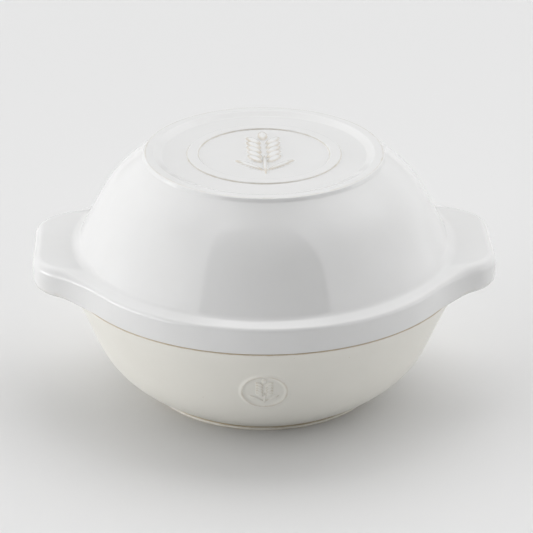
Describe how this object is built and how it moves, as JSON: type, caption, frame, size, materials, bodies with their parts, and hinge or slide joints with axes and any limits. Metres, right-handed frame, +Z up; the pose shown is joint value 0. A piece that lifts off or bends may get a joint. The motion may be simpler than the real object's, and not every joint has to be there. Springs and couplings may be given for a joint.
{
  "type": "bread pot",
  "caption": "Round ceramic bread pot: cream bowl on a foot ring, under a white domed lid with ear handles, a deep rim band and a flat recessed crown.",
  "frame": {"origin": "on the pot's axis, in the plane that the foot ring stands on", "axes": "+X towards one ear handle, +Z up along the pot's axis"},
  "size_m": [0.301, 0.26, 0.164],
  "materials": {
    "cream_glaze": "satin cream glaze",
    "white_glaze": "glossy white glaze"
  },
  "bodies": {
    "bowl": {"bowl": "cream_glaze"},
    "lid": {"lid": "white_glaze"}
  },
  "joints": [
    {"name": "lid_lift", "type": "slide", "parent": "bowl", "child": "lid", "axis": [0, 0, 1], "range_m": [0, 0.16]}
  ]
}
